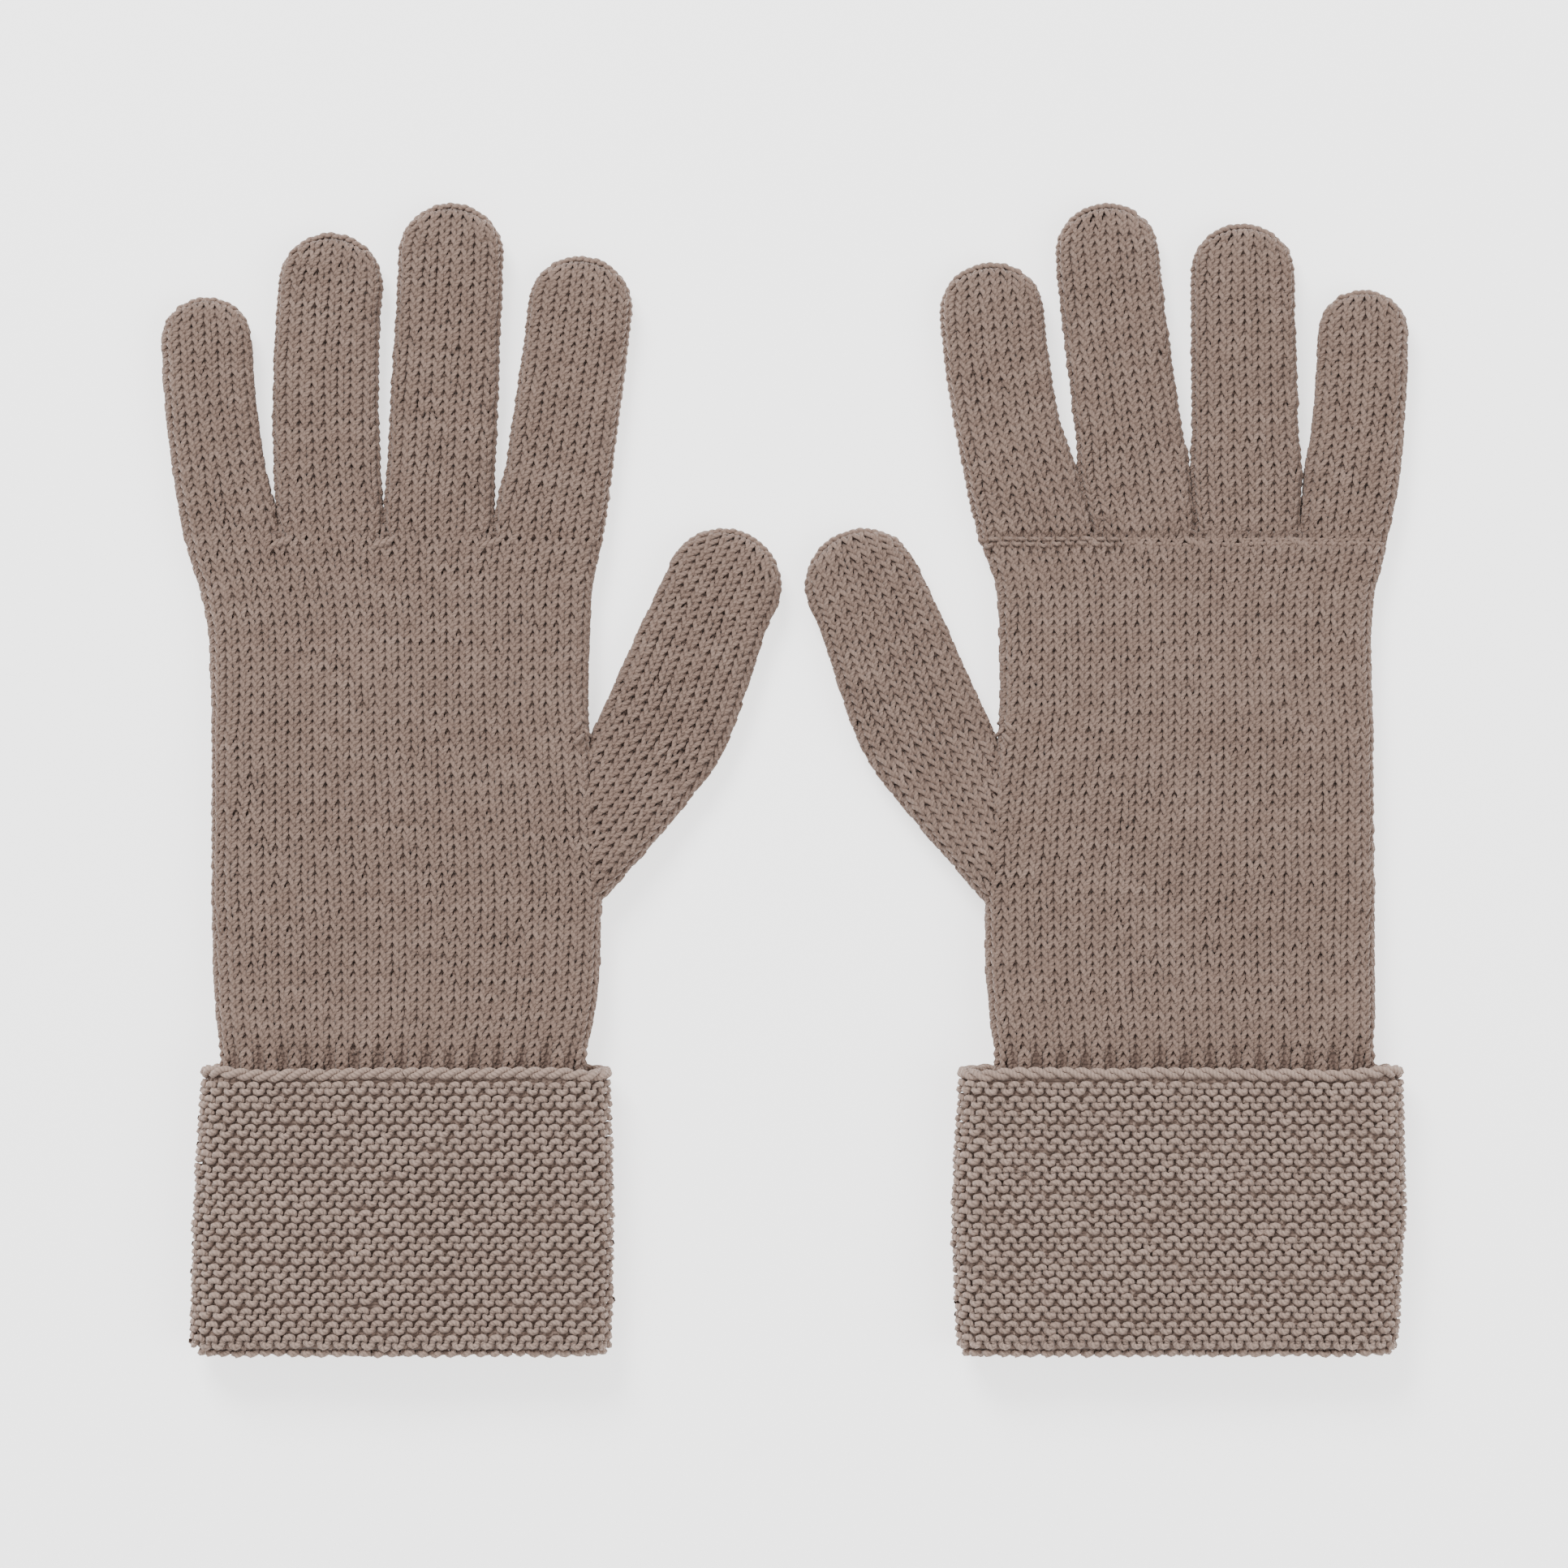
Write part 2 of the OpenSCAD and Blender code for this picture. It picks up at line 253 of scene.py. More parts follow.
# %% Gentle unevenness
def soft_swell(seed, height, wave):
    """Slow, shallow rises and hollows, as a soft fabric has when it is laid down."""
    dice = np.random.default_rng(seed)
    turns = dice.uniform(0, 2 * math.pi, 6)
    waves = wave * dice.uniform(0.7, 1.6, 6)
    starts = dice.uniform(0, 2 * math.pi, 6)

    def swell(points):
        total = 0
        for turn, length, begin in zip(turns, waves, starts):
            walk = points[..., 0] * math.cos(turn) + points[..., 1] * math.sin(turn)
            total = total + np.sin(walk * 2 * math.pi / length + begin)
        middle = points[..., 2].mean()
        return total * height / 3 * np.clip((points[..., 2] - middle) / 3, 0, 1)

    return swell


print("a section of 90 by 10 mm is", round(ring_line(45, 5, 5, 5)[2], 1), "mm round")

# %% [markdown]
# ## Yarn
# A strand is a tube of five sides swept along a line. Its upward direction comes from the fabric,
# so it never twists by itself. Two measures go with every face: the distance along the yarn and
# the way round it, which the yarn's finish needs to draw the twist of its plies. A second, tidy
# map gives every strand its own strip, for programs that paint surfaces.

# %% Strands
SIDES = 5


def strand(line, lift, radius, tone, hollow):
    """One tube of yarn: corners, faces, and for every face corner the way along and around."""
    count = len(line)
    ahead = np.gradient(line, axis=0)
    ahead /= np.maximum(np.linalg.norm(ahead, axis=1, keepdims=True), 1e-9)
    beside = np.cross(ahead, lift)
    beside /= np.maximum(np.linalg.norm(beside, axis=1, keepdims=True), 1e-9)
    above = np.cross(beside, ahead)
    angle = np.arange(SIDES) * 2 * math.pi / SIDES
    thick = np.broadcast_to(radius, count)[:, None, None]
    ring = np.cos(angle)[None, :, None] * beside[:, None] + np.sin(angle)[None, :, None] * above[:, None]
    points = (line[:, None] + thick * ring).reshape(-1, 3)
    number = np.arange(count * SIDES).reshape(count, SIDES)
    here, there = number[:-1], number[1:]
    faces = np.stack([here, there, np.roll(there, -1, 1), np.roll(here, -1, 1)], -1).reshape(-1, 4)
    walked = np.concatenate([[0], np.cumsum(np.linalg.norm(np.diff(line, axis=0), axis=1))])
    along = np.stack([walked[:-1], walked[1:], walked[1:], walked[:-1]], -1)
    along = np.repeat(along[:, None, :], SIDES, 1).reshape(-1, 4)
    turn = np.arange(SIDES) / SIDES
    around = np.stack([turn, turn, turn + 1 / SIDES, turn + 1 / SIDES], -1)
    around = np.tile(around, (count - 1, 1))
    tone = np.repeat(np.broadcast_to(tone, count), SIDES)
    hollow = np.repeat(np.broadcast_to(hollow, count), SIDES)
    return points, faces, along, around, tone, hollow


# %% Dark sheet of painted shade behind the loops
SHADE_SHEET_SUNK = -0.35


def shade_sheet(fabric, low, high, first, last, out, keep=None, hollow=-0.4):
    """A dark sheet just behind the loops, so that no light shines through. Its dark colour is painted shade
    for the gaps between the loops.
    """
    heights = np.append(np.arange(low, high, 2.0), high)
    turns = np.linspace(first, last, max(4, int(72 * (last - first))))
    level, turn = np.meshgrid(heights, turns, indexing="ij")
    on, normal = fabric.at(level.ravel(), turn.ravel())
    points = on + out * normal
    number = np.arange(len(points)).reshape(level.shape)
    here, right = number[:-1, :-1], number[:-1, 1:]
    faces = np.stack([here, right, number[1:, 1:], number[1:, :-1]], -1).reshape(-1, 4)
    along = (level.ravel() - low)[faces]
    around = ((turn.ravel() - first) / (last - first))[faces]
    if keep is not None:
        inside = keep(points)[faces].all(1)
        faces, along, around = faces[inside], along[inside], around[inside]
    # Painted shade: a low tone and a lit share of zero or less keep the sheet dark.
    tone = np.full(len(points), 0.3)
    hollow = np.full(len(points), hollow)
    return points, faces, along, around, tone, hollow


# %% Pieces from strands
def piece(name, side, strands, finish, body):
    """Gathers strands into one object, put on the body that `body` names. For a tuple of two bodies and two
    points, it is put on no body.
    """
    turn = GLOVES[side][1]
    starts = np.cumsum([0] + [len(s[0]) for s in strands[:-1]])
    points = set_down(side, np.concatenate([s[0] for s in strands]))
    faces = np.concatenate([s[1] + start for s, start in zip(strands, starts)])
    along = np.concatenate([s[2] for s in strands])
    around = np.concatenate([s[3] for s in strands])
    strip = np.concatenate([np.full(len(s[1]), k) for k, s in enumerate(strands)])
    share = np.concatenate([s[2] / s[2].max() for s in strands])
    if turn < 0:
        faces, along, around, share = (grid[:, ::-1] for grid in (faces, along, around, share))
    mesh = bpy.data.meshes.new(name)
    mesh.vertices.add(len(points))
    mesh.vertices.foreach_set("co", points.ravel().astype(np.float32))
    mesh.loops.add(faces.size)
    mesh.loops.foreach_set("vertex_index", np.ascontiguousarray(faces).ravel().astype(np.int32))
    mesh.polygons.add(len(faces))
    mesh.polygons.foreach_set("loop_start", np.arange(len(faces), dtype=np.int32) * 4)
    mesh.polygons.foreach_set("use_smooth", np.ones(len(faces), bool))
    maps = {
        "OFBake": (share * 0.98 + 0.01, (strip[:, None] + around * 0.9 + 0.05) / len(strands)),
        "yarn": (along, around * turn),
    }
    for label, (u, v) in maps.items():
        layer = mesh.uv_layers.new(name=label)
        layer.uv.foreach_set("vector", np.stack([u, v], -1).ravel().astype(np.float32))
    for label, k in (("tone", 4), ("hollow", 5)):
        values = np.concatenate([s[k] for s in strands]).astype(np.float32)
        mesh.attributes.new(label, "FLOAT", "POINT").data.foreach_set("value", values)
    mesh.update()
    mesh.materials.append(finish)
    made = bpy.data.objects.new(name, mesh)
    bpy.context.scene.collection.objects.link(made)
    if isinstance(body, str):
        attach(made, body)
    else:
        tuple(body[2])
        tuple(body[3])
        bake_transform(made)
    print(f"{name}: {len(strands)} strands, {len(faces)} faces")
    return made


# %% [markdown]
# ## The yarn's finish
# The wool is a warm taupe of two plies twisted together, matt and a little hairy. The twist is
# too fine for geometry, so it is a bump: two ridges that wind round the yarn as it goes along.
# Colour varies from stitch to stitch and in fine flecks. Deep between the loops and in the grooves between
# the plies it is darkened with painted shade, where fibres shade one another. The cuffs' wool is a lighter
# copy of the same yarn: painted light that makes up for the deeper shade among their ridges.

# %% Nodes written as sums
class Wire:
    """A value in a finish. A sum written on wires adds its Math nodes."""

    def __init__(self, finish, socket):
        self.finish = finish
        self.socket = socket

    def maths(self, operation, first, second):
        return self.finish.node("ShaderNodeMath", {"operation": operation}, {0: first, 1: second})

    def __add__(self, other):
        return self.maths("ADD", self, other)

    def __rsub__(self, other):
        return self.maths("SUBTRACT", other, self)

    def __mul__(self, other):
        return self.maths("MULTIPLY", self, other)

    def __truediv__(self, other):
        return self.maths("DIVIDE", self, other)

    __radd__ = __add__
    __rmul__ = __mul__


class Finish:
    """A material whose nodes are made one at a time, with their settings first."""

    def __init__(self, name):
        self.material = bpy.data.materials.new(name)
        self.material.use_nodes = True
        self.tree = self.material.node_tree
        self.shader = self.tree.nodes["Principled BSDF"]

    def fill(self, target, value):
        if isinstance(value, Wire):
            self.tree.links.new(value.socket, target)
        else:
            target.default_value = value

    def node(self, kind, settings, sockets, output=0):
        made = self.tree.nodes.new(kind)
        for key, value in settings.items():
            setattr(made, key, value)
        for key, value in sockets.items():
            self.fill(made.inputs[key], value)
        return Wire(self, made.outputs[output])

    def between(self, amount, first, second):
        """Mixes two colours."""
        kind = {"data_type": "RGBA", "clamp_factor": True}
        return self.node("ShaderNodeMix", kind, {0: amount, 6: first, 7: second}, 2)

    def give(self, **sockets):
        """Sets the shader's own sockets: a word's underscores stand for spaces."""
        for key, value in sockets.items():
            self.fill(self.shader.inputs[key.replace("_", " ")], value)


# %% Wool
TWIST = 1.9
SHADE = (0.068, 0.042, 0.033, 1)
WOOL = (0.197, 0.132, 0.104, 1)
FLECK = (0.291, 0.205, 0.166, 1)
# The cuffs' colours are lighter copies of the same yarn's colours: painted light that makes up for the deeper
# shade among the garter ridges.
LIT_RIDGE_WOOL = (0.24, 0.163, 0.13, 1)
LIT_RIDGE_FLECK = (0.348, 0.25, 0.204, 1)


def wool(name, twist_depth, base, fleck, pale, shading):
    finish = Finish(name)
    yarn = finish.node("ShaderNodeUVMap", {"uv_map": "yarn"}, {})
    along = finish.node("ShaderNodeSeparateXYZ", {}, {0: yarn}, 0)
    around = finish.node("ShaderNodeSeparateXYZ", {}, {0: yarn}, 1)
    tone = finish.node("ShaderNodeAttribute", {"attribute_name": "tone"}, {}, 2)
    hollow = finish.node("ShaderNodeAttribute", {"attribute_name": "hollow"}, {}, 2)
    place_on = finish.node("ShaderNodeTexCoord", {}, {}, 3)
    turns = (along / TWIST + around) * (2 * math.pi)
    wave = finish.node("ShaderNodeMath", {"operation": "SINE"}, {0: turns})
    ply = finish.node("ShaderNodeMath", {"operation": "ABSOLUTE"}, {0: wave})
    fibre = finish.node("ShaderNodeTexNoise", {}, {"Vector": place_on, "Scale": 5200, "Detail": 2})
    patch = finish.node("ShaderNodeTexNoise", {}, {"Vector": place_on, "Scale": 160, "Detail": 3})
    lit = tone * 0.6 + patch * 0.45 + fibre * 0.2 + pale
    colour = finish.between(lit, base, fleck)
    # Painted shade: the colour is pulled towards SHADE where the lit share is low, deep between the loops,
    # and in the grooves between the two plies.
    shaded = (1 - hollow) * shading + (1 - ply) * 0.16
    colour = finish.between(shaded, colour, SHADE)
    height = ply * 0.75 + fibre * 0.3
    bump = {"Height": height, "Distance": twist_depth * MM, "Strength": 1.0}
    normal = finish.node("ShaderNodeBump", {}, bump)
    rough = 0.97 - fibre * 0.2
    finish.give(Base_Color=colour, Roughness=rough, Normal=normal)
    finish.give(Sheen_Weight=0.25, Sheen_Roughness=0.5, Sheen_Tint=(0.9, 0.82, 0.78, 1))
    finish.give(Specular_IOR_Level=0.25)
    return finish.material


plain_wool = wool("plain_wool", 0.2, WOOL, FLECK, pale=-0.42, shading=0.54)
# The cuffs' finish is a lit copy of the plain one. Its lighter colours and its larger pale shift towards the
# flecks are painted light, and its painted shade is weaker.
lit_ridge_wool = wool("lit_ridge_wool", 0.34, LIT_RIDGE_WOOL, LIT_RIDGE_FLECK, pale=0.15, shading=0.3)
print("finishes:", plain_wool.name, lit_ridge_wool.name)

# %% [markdown]
# ## Stitches
# One course is one strand that goes all the way round. In plain knitting it climbs into a loop at
# each stitch, leans out over its neighbours and comes back down: seen from outside, two slanted
# legs that read as a V. In garter stitch every second course turns its loops the other way, so
# rows of bumps stand up on both faces. Hand knitting is never perfectly even, so each stitch is
# nudged a little.

# %% Courses
# `lean` and `slant` are shares of a stitch, `climb` a share of the space between courses, and `depth`,
# `dive`, `radius` and `lift` are mm. `dive` sinks the top of each loop under the next course.
STEPS = 10
LOOP_NUDGE = 0.045
ROW_NUDGE = 0.07
OUT_NUDGE = 0.1
THICK_NUDGE = 0.04
TONE_NUDGE = 0.28
TUCKED_SHADE = 1.7
PLAIN = {
    "lean": 0.29, "tilt": 0.03, "slant": 0, "climb": 0.97,
    "depth": 0.66, "dive": 0.28, "radius": 0.635, "lift": 0, "loose": 1.2,
}
GARTER = {
    "lean": 0.1, "tilt": 0, "slant": 0.06, "climb": 0.57,
    "depth": 0.44, "dive": 0, "radius": 0.83, "lift": 0.85, "loose": 1.6,
}


def course(fabric, height, spacing, stitches, first, last, stitch, dice, face=1, keep=None, pucker=0):
    """Strands of one course, from stitch `first` to `last`. `keep` says which points stay.
    `pucker` draws stitches together in pairs that stand up, as at the wrist."""
    i = np.linspace(first, last, int(round((last - first) * STEPS)) + 1)
    t = 2 * math.pi * i
    marks = np.arange(math.floor(first) - 1, math.ceil(last) + 2)
    nudge = dice.normal(0, 1, (5, len(marks))) * stitch["loose"]
    side_step, rise, push, thick, tone = (np.interp(i, marks, row) for row in nudge)
    sideways = stitch["lean"] * np.sin(2 * t) + stitch["tilt"] * np.sin(t) + LOOP_NUDGE * side_step
    sideways -= stitch["slant"] * np.cos(t)
    sideways += 0.02 * np.sin(height / 6.7 + 1.3 * i)
    pair = math.pi * (i - 1)
    turn = (i + sideways - 0.1 * pucker * np.sin(pair)) / stitches
    level = height - stitch["climb"] * spacing * np.cos(t) + ROW_NUDGE * spacing * rise
    if stitch["lift"]:
        out = face * (stitch["lift"] + stitch["depth"] * np.cos(2 * t)) + OUT_NUDGE * push
    else:
        out = stitch["dive"] * np.cos(t) - stitch["depth"] * np.cos(2 * t) + OUT_NUDGE * push
    raised = pucker * (0.85 * np.cos(pair) - 0.35)
    on, normal = fabric.at(level, turn)
    line = on + (out + raised)[:, None] * normal
    radius = stitch["radius"] * (1 + THICK_NUDGE * thick)
    # Painted shade: a point of a plain loop gets a lower lit share the deeper it lies, and a point of a
    # garter loop the nearer it lies to the cloth's middle. A low lit share darkens its colour. The top of
    # each plain loop, tucked under the next course, is darkened further, and at the wrist the yarn darkens
    # where the paired stitches dip.
    reach = stitch["lift"] + stitch["depth"]
    if stitch["lift"]:
        hollow = np.clip(np.abs(out) / reach, 0, 1)
    else:
        tucked = TUCKED_SHADE * stitch["dive"] * np.clip(-np.cos(t), 0, 1)
        hollow = np.clip(0.5 + 0.5 * out / reach - tucked, 0, 1)
    hollow = np.clip(hollow - 0.25 * pucker * (1 - np.cos(pair)), 0, 1)
    tone = 0.5 + TONE_NUDGE / stitch["loose"] * tone
    stay = np.ones(len(i), bool) if keep is None else keep(on)
    runs = []
    edges = np.flatnonzero(np.diff(np.concatenate([[0], stay.astype(int), [0]])))
    for begin, end in zip(edges[::2], edges[1::2]):
        if end - begin > STEPS // 2:
            part = slice(begin, end)
            runs.append(strand(line[part], normal[part], radius[part], tone[part], hollow[part]))
    return runs


# %% [markdown]
# ## Hands
# The hand is one tube from the wrist to the finger roots, 64 stitches round. The palm and the back
# are separate pieces, so that each stays light enough to handle. Where the thumb grows out, the
# edge keeps its height instead of rounding down, and the stitches inside the thumb are left out.

# %% Hand
PLAIN_INSET = 1.25
COURSE = 2.2
STITCH = 3.12
SEAM_LOW = np.array([48.2, 112])
SEAM_HIGH = np.array([44.6, 157])


def pull_in(points_left, points_right, inset):
    """Moves both edges in by half the cloth's thickness."""
    span = points_right - points_left
    step = span / np.hypot(span[:, 0], span[:, 1])[:, None] * inset
    return points_left + step, points_right - step


def even(number, least):
    return max(least, 2 * int(round(number / 2)))


def beyond_seam(points, margin):
    """How far points are past the thumb's seam, towards the thumb."""
    level = (points[:, 1] - SEAM_LOW[1]) / (SEAM_HIGH[1] - SEAM_LOW[1])
    seam = SEAM_LOW[0] + (SEAM_HIGH[0] - SEAM_LOW[0]) * level
    inside = (level > -0.01) & (level < 1.0)
    return inside & (points[:, 0] > seam + margin)


FINGER_ROOT = 201.0
ROOT_DIP = {"left": 0.3, "right": 1.1}


def root_dip(side, swell):
    """Adds the shallow trench where the fingers were joined on to a fabric's own unevenness."""

    def both(points):
        near = np.exp(-(((points[..., 1] - FINGER_ROOT) / 1.5) ** 2))
        return swell(points) - ROOT_DIP[side] * near * np.clip((points[..., 2] - 5) / 3, 0, 1)

    return both


def hand_fabric(side):
    rows = rings_of(corners(side, "wrist_row", "hand", "finger_join"), 0.8)
    heights = np.arange(68, 206, 1.0)
    left = np.stack([follow(rows, 1, heights), heights], 1)
    right = np.stack([follow(rows, 2, heights), heights], 1)
    left, right = pull_in(left, right, PLAIN_INSET)
    low = follow(rows, 3, heights) + PLAIN_INSET
    high = follow(rows, 4, heights) - PLAIN_INSET
    near_thumb = ease((heights - 106) / 10) * ease((162 - heights) / 10)
    corner = (high - low) / 2 * (1 - 0.6 * near_thumb)
    swell = root_dip(side, soft_swell(3 if side == "left" else 8, 0.5, 34))
    return Fabric(heights[0], left, right, low, high, corner=corner, swell=swell)


hands = {side: hand_fabric(side) for side in GLOVES}


HAND_LOW = 69.4
HAND_HIGH = 201.5
HAND_STITCHES = 64
GATHER_HIGH = 79


def knit_hand(side):
    dice = np.random.default_rng(11 if side == "left" else 12)
    fabric = hands[side]
    bottom, top = HAND_LOW, HAND_HIGH
    count = int(round((top - bottom) / COURSE))
    spacing = (top - bottom) / count
    palm, back = [], []
    for k in range(count):
        height = bottom + (k + 0.5) * spacing
        drawn = float(ease((GATHER_HIGH - height) / 6))
        stays = lambda points: ~beyond_seam(points, 0.9)
        extra = {"keep": stays, "pucker": drawn}
        palm += course(fabric, height, spacing, HAND_STITCHES, -16, 16, PLAIN, dice, **extra)
        back += course(fabric, height, spacing, HAND_STITCHES, 16, 48, PLAIN, dice, **extra)
    glove = f"{side}_glove"
    stays = lambda points: ~beyond_seam(points, 0.5)
    for made, first in ((palm, -0.25), (back, 0.25)):
        # Dark sheets of painted shade behind the palm's and the back's loops. The second sheet is a little
        # less dark and lies deeper, along the finger roots.
        made.append(shade_sheet(fabric, bottom, top, first, first + 0.5, SHADE_SHEET_SUNK, stays))
        made.append(shade_sheet(fabric, top - 1.5, top + 0.7, first, first + 0.5, -0.6, stays, 0))
    front = piece(f"{side}_palm_knit", side, palm, plain_wool, glove)
    rear = piece(f"{side}_back_knit", side, back, plain_wool, glove)
    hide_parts(f"{side}_hand", f"{side}_wrist_row", f"{side}_thumb_join")
    return front, rear


for side in GLOVES:
    knit_hand(side)

# %% [markdown]
# ## Fingers
# Each finger is a tube of its own. Its courses start level with the hand and soon turn square to
# the finger. At the tip they arch and lose stitches at both edges, while those in the middle run
# straight on, as they do where a knitter decreases in pairs. A finger's knitting is cut into two
# pieces halfway between its two joints. Neither piece is put on a body; only the rim of its tip is
# put on the upper joint's body.

# %% Finger surfaces
TIP_RUN = 6
TIP_ARCH = 3.6
TIP_DEPTH = 5.2
FINGERS = ["little", "ring", "middle", "index"]


def tip_rings(shoulder, lean, radius, low, high):
    """Rings of a closed tip. They arch more and more, so that the last lies along the round outline."""
    reach = radius - PLAIN_INSET
    middle_run = TIP_RUN + reach
    walk = np.arange(0, middle_run, 1.0)
    share = walk / middle_run
    bend = TIP_ARCH * share**1.5
    edge_up = walk - TIP_RUN - bend
    half = reach * np.sqrt(1 - np.clip(edge_up / reach, 0, 0.999) ** 2)
    forward = np.array([math.sin(lean), math.cos(lean)])
    sideways = np.array([math.cos(lean), -math.sin(lean)])
    centre = shoulder + (walk - TIP_RUN)[:, None] * forward
    left = centre - half[:, None] * sideways
    right = centre + half[:, None] * sideways
    full = high - low
    closing = np.clip((walk - TIP_RUN) / reach, 0, 1)
    depth = TIP_DEPTH + (full - TIP_DEPTH) * (1 - closing**2) ** 0.35
    tall = depth / 2 - PLAIN_INSET
    level = (low + high) / 2
    return left, right, level - tall, level + tall, bend


CLOSE = {
    "left": {"little": (0.2, 0.9), "ring": (0.9, 0.9), "middle": (0.9, 0.9), "index": (0.9, 0.2)},
    "right": {"little": (0.2, 0.9), "ring": (0.9, 0.7), "middle": (0.7, 1.4), "index": (1.4, 0.2)},
}
CLOSE_REACH = {"left": 19, "right": 28}


def stall_fabric(rows, root, tip, close, reach, swell, turn_over=25):
    """Cloth of a finger whose rings run up +Y, from its root to its closed tip. `close` is how far
    its two edges lean on its neighbours above the root, and `reach` how high up they do."""
    radius = (rows[-1, 2] - rows[-1, 1]) / 2
    shoulder = tip - radius
    heights = np.arange(root - 1, shoulder - TIP_RUN, 1.0)
    sampled = np.append(heights, shoulder)
    middle = (follow(rows, 1, sampled, 3) + follow(rows, 2, sampled, 3)) / 2
    width = follow(rows, 2, sampled, 3) - follow(rows, 1, sampled, 3)
    lean = np.arctan(np.gradient(middle, sampled))
    tilt = lean * ease((sampled - root) / turn_over)
    leaning = 0.6 + 0.4 * ease((sampled - root) / 4)
    leaning *= ease((root + reach - sampled) / 14)
    half = width / 2 * np.cos(lean) / np.cos(lean - tilt) - PLAIN_INSET
    sideways = np.stack([np.cos(tilt), -np.sin(tilt)], 1)
    centre = np.stack([middle, sampled], 1)
    low, high = rows[0, 3], rows[0, 4]
    left = centre - (half + close[0] * leaning)[:, None] * sideways
    right = centre + (half + close[1] * leaning)[:, None] * sideways
    end = tip_rings(centre[-1], lean[-1], radius, low, high)
    crown = (centre[-1], lean[-1], radius)
    lows = np.full(len(heights), low + PLAIN_INSET)
    highs = np.full(len(heights), high - PLAIN_INSET)
    bend = np.concatenate([np.zeros(len(heights)), end[4]])
    cloth = Fabric(
        heights[0],
        np.concatenate([left[:-1], end[0]]),
        np.concatenate([right[:-1], end[1]]),
        np.concatenate([lows, end[2]]),
        np.concatenate([highs, end[3]]),
        bend=bend,
        swell=swell,
    )
    return cloth, crown


def finger_rows(side, finger):
    points = corners(side, f"{finger}_base", f"{finger}_middle", f"{finger}_tip")
    depth_low, depth_high = points[:, 2].min(), points[:, 2].max()
    rows = rings_of(points, 0.5)
    full = (rows[:, 3] < depth_low + 0.05) & (rows[:, 4] > depth_high - 0.05)
    tip = corners(side, f"{finger}_closure")[:, 1].max()
    return rows[full], tip


# %% Finger pieces
joints = {joint["name"]: joint for joint in frame["joints"]}
BLEND = 10


def joint_height(side, name):
    return joints[f"{side}_{name}"]["pos_m"][1] / MM - FOLD_Y


RIM_PITCH = 3.8


def knit_stall(fabric, bottom, top, dice, keep=None, widest=None):
    """Courses of a finger from root to tip, each with the even number of stitches that fits it."""
    count = int(round((top - bottom) / COURSE))
    spacing = (top - bottom) / count
    heights = bottom + (np.arange(count) + 0.5) * spacing
    usual = even(widest or np.median(fabric.measure(heights)) / STITCH, 8)
    courses = []
    for height in heights:
        stitches = min(usual, even(fabric.measure(height) / (STITCH - 0.3), 4))
        half = stitches / 2
        made = course(fabric, height, spacing, stitches, -half, half, PLAIN, dice, keep=keep)
        courses.append((height, made))
    return courses


def gather(courses, low, high):
    return [s for height, made in courses if low <= height < high for s in made]


def tip_edge(crown, level, dice):
    """The rim of a tip: the decreased stitches, wound along the outline from shoulder to shoulder."""
    shoulder, lean, radius = crown
    angle = np.radians(np.linspace(-6, 186, 150))
    sunk = 0.9 * ease(1 - np.sin(np.clip(angle, 0, math.pi)) * 2.2)
    out = np.stack([np.cos(angle - lean), np.sin(angle - lean), np.zeros(len(angle))], 1)
    walk = angle * radius
    made = []
    for phase in (0, math.pi):
        t = walk * 2 * math.pi / RIM_PITCH + phase
        rough = np.interp(walk, walk[::10], dice.normal(0, 0.12, len(walk[::10])))
        line = np.array([*shoulder, level]) + out * (radius - 1.0 - sunk + 0.35 * np.cos(t) + rough)[:, None]
        line[:, 2] += 0.82 * np.sin(t)
        # Painted light and shade: each rim strand's tone is lighter where it rises and darker where it sinks,
        # in step with its height.
        made.append(strand(line, out, 0.7 * (1 - 0.2 * sunk), 0.62 + 0.1 * np.sin(t), 0.95))
    return made


def knit_finger(side, finger, number):
    dice = np.random.default_rng(100 + number + (50 if side == "right" else 0))
    rows, tip = finger_rows(side, finger)
    root = FINGER_ROOT
    swell = root_dip(side, soft_swell(200 + number + (9 if side == "right" else 0), 0.35, 26))
    fabric, crown = stall_fabric(rows, root, tip, CLOSE[side][finger], CLOSE_REACH[side], swell)
    top = fabric.start + len(fabric.length) - 1
    courses = knit_stall(fabric, root - 0.4, top, dice)
    knuckle, bend = joint_height(side, f"{finger}_knuckle"), joint_height(side, f"{finger}_bend")
    middle = (knuckle + bend) / 2
    glove, lower, upper = f"{side}_glove", f"{side}_{finger}_lower", f"{side}_{finger}_upper"
    x = (rows[0, 1] + rows[0, 2]) / 2

    def across(height):
        return place(side, (x, height - BLEND, 5)), place(side, (x, height + BLEND, 5))

    spans = ((root - 0.5, middle), (middle, top))
    # Dark sheets of painted shade behind the finger's loops.
    inside = [shade_sheet(fabric, low, high, 0, 1, SHADE_SHEET_SUNK) for low, high in spans]
    near = piece(
        f"{side}_{finger}_root_knit", side, gather(courses, 0, middle) + inside[:1], plain_wool,
        (glove, lower, *across(knuckle)),
    )
    far = piece(
        f"{side}_{finger}_tip_knit", side, gather(courses, middle, 400) + inside[1:], plain_wool,
        (lower, upper, *across(bend)),
    )
    end = piece(
        f"{side}_{finger}_end", side, tip_edge(crown, (rows[0, 3] + rows[0, 4]) / 2, dice), plain_wool,
        upper,
    )
    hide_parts(f"{side}_{finger}_base", f"{side}_{finger}_middle")
    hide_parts(f"{side}_{finger}_tip")
    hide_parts(f"{side}_{finger}_closure")


for side in GLOVES:
    for number, finger in enumerate(FINGERS):
        knit_finger(side, finger, number)

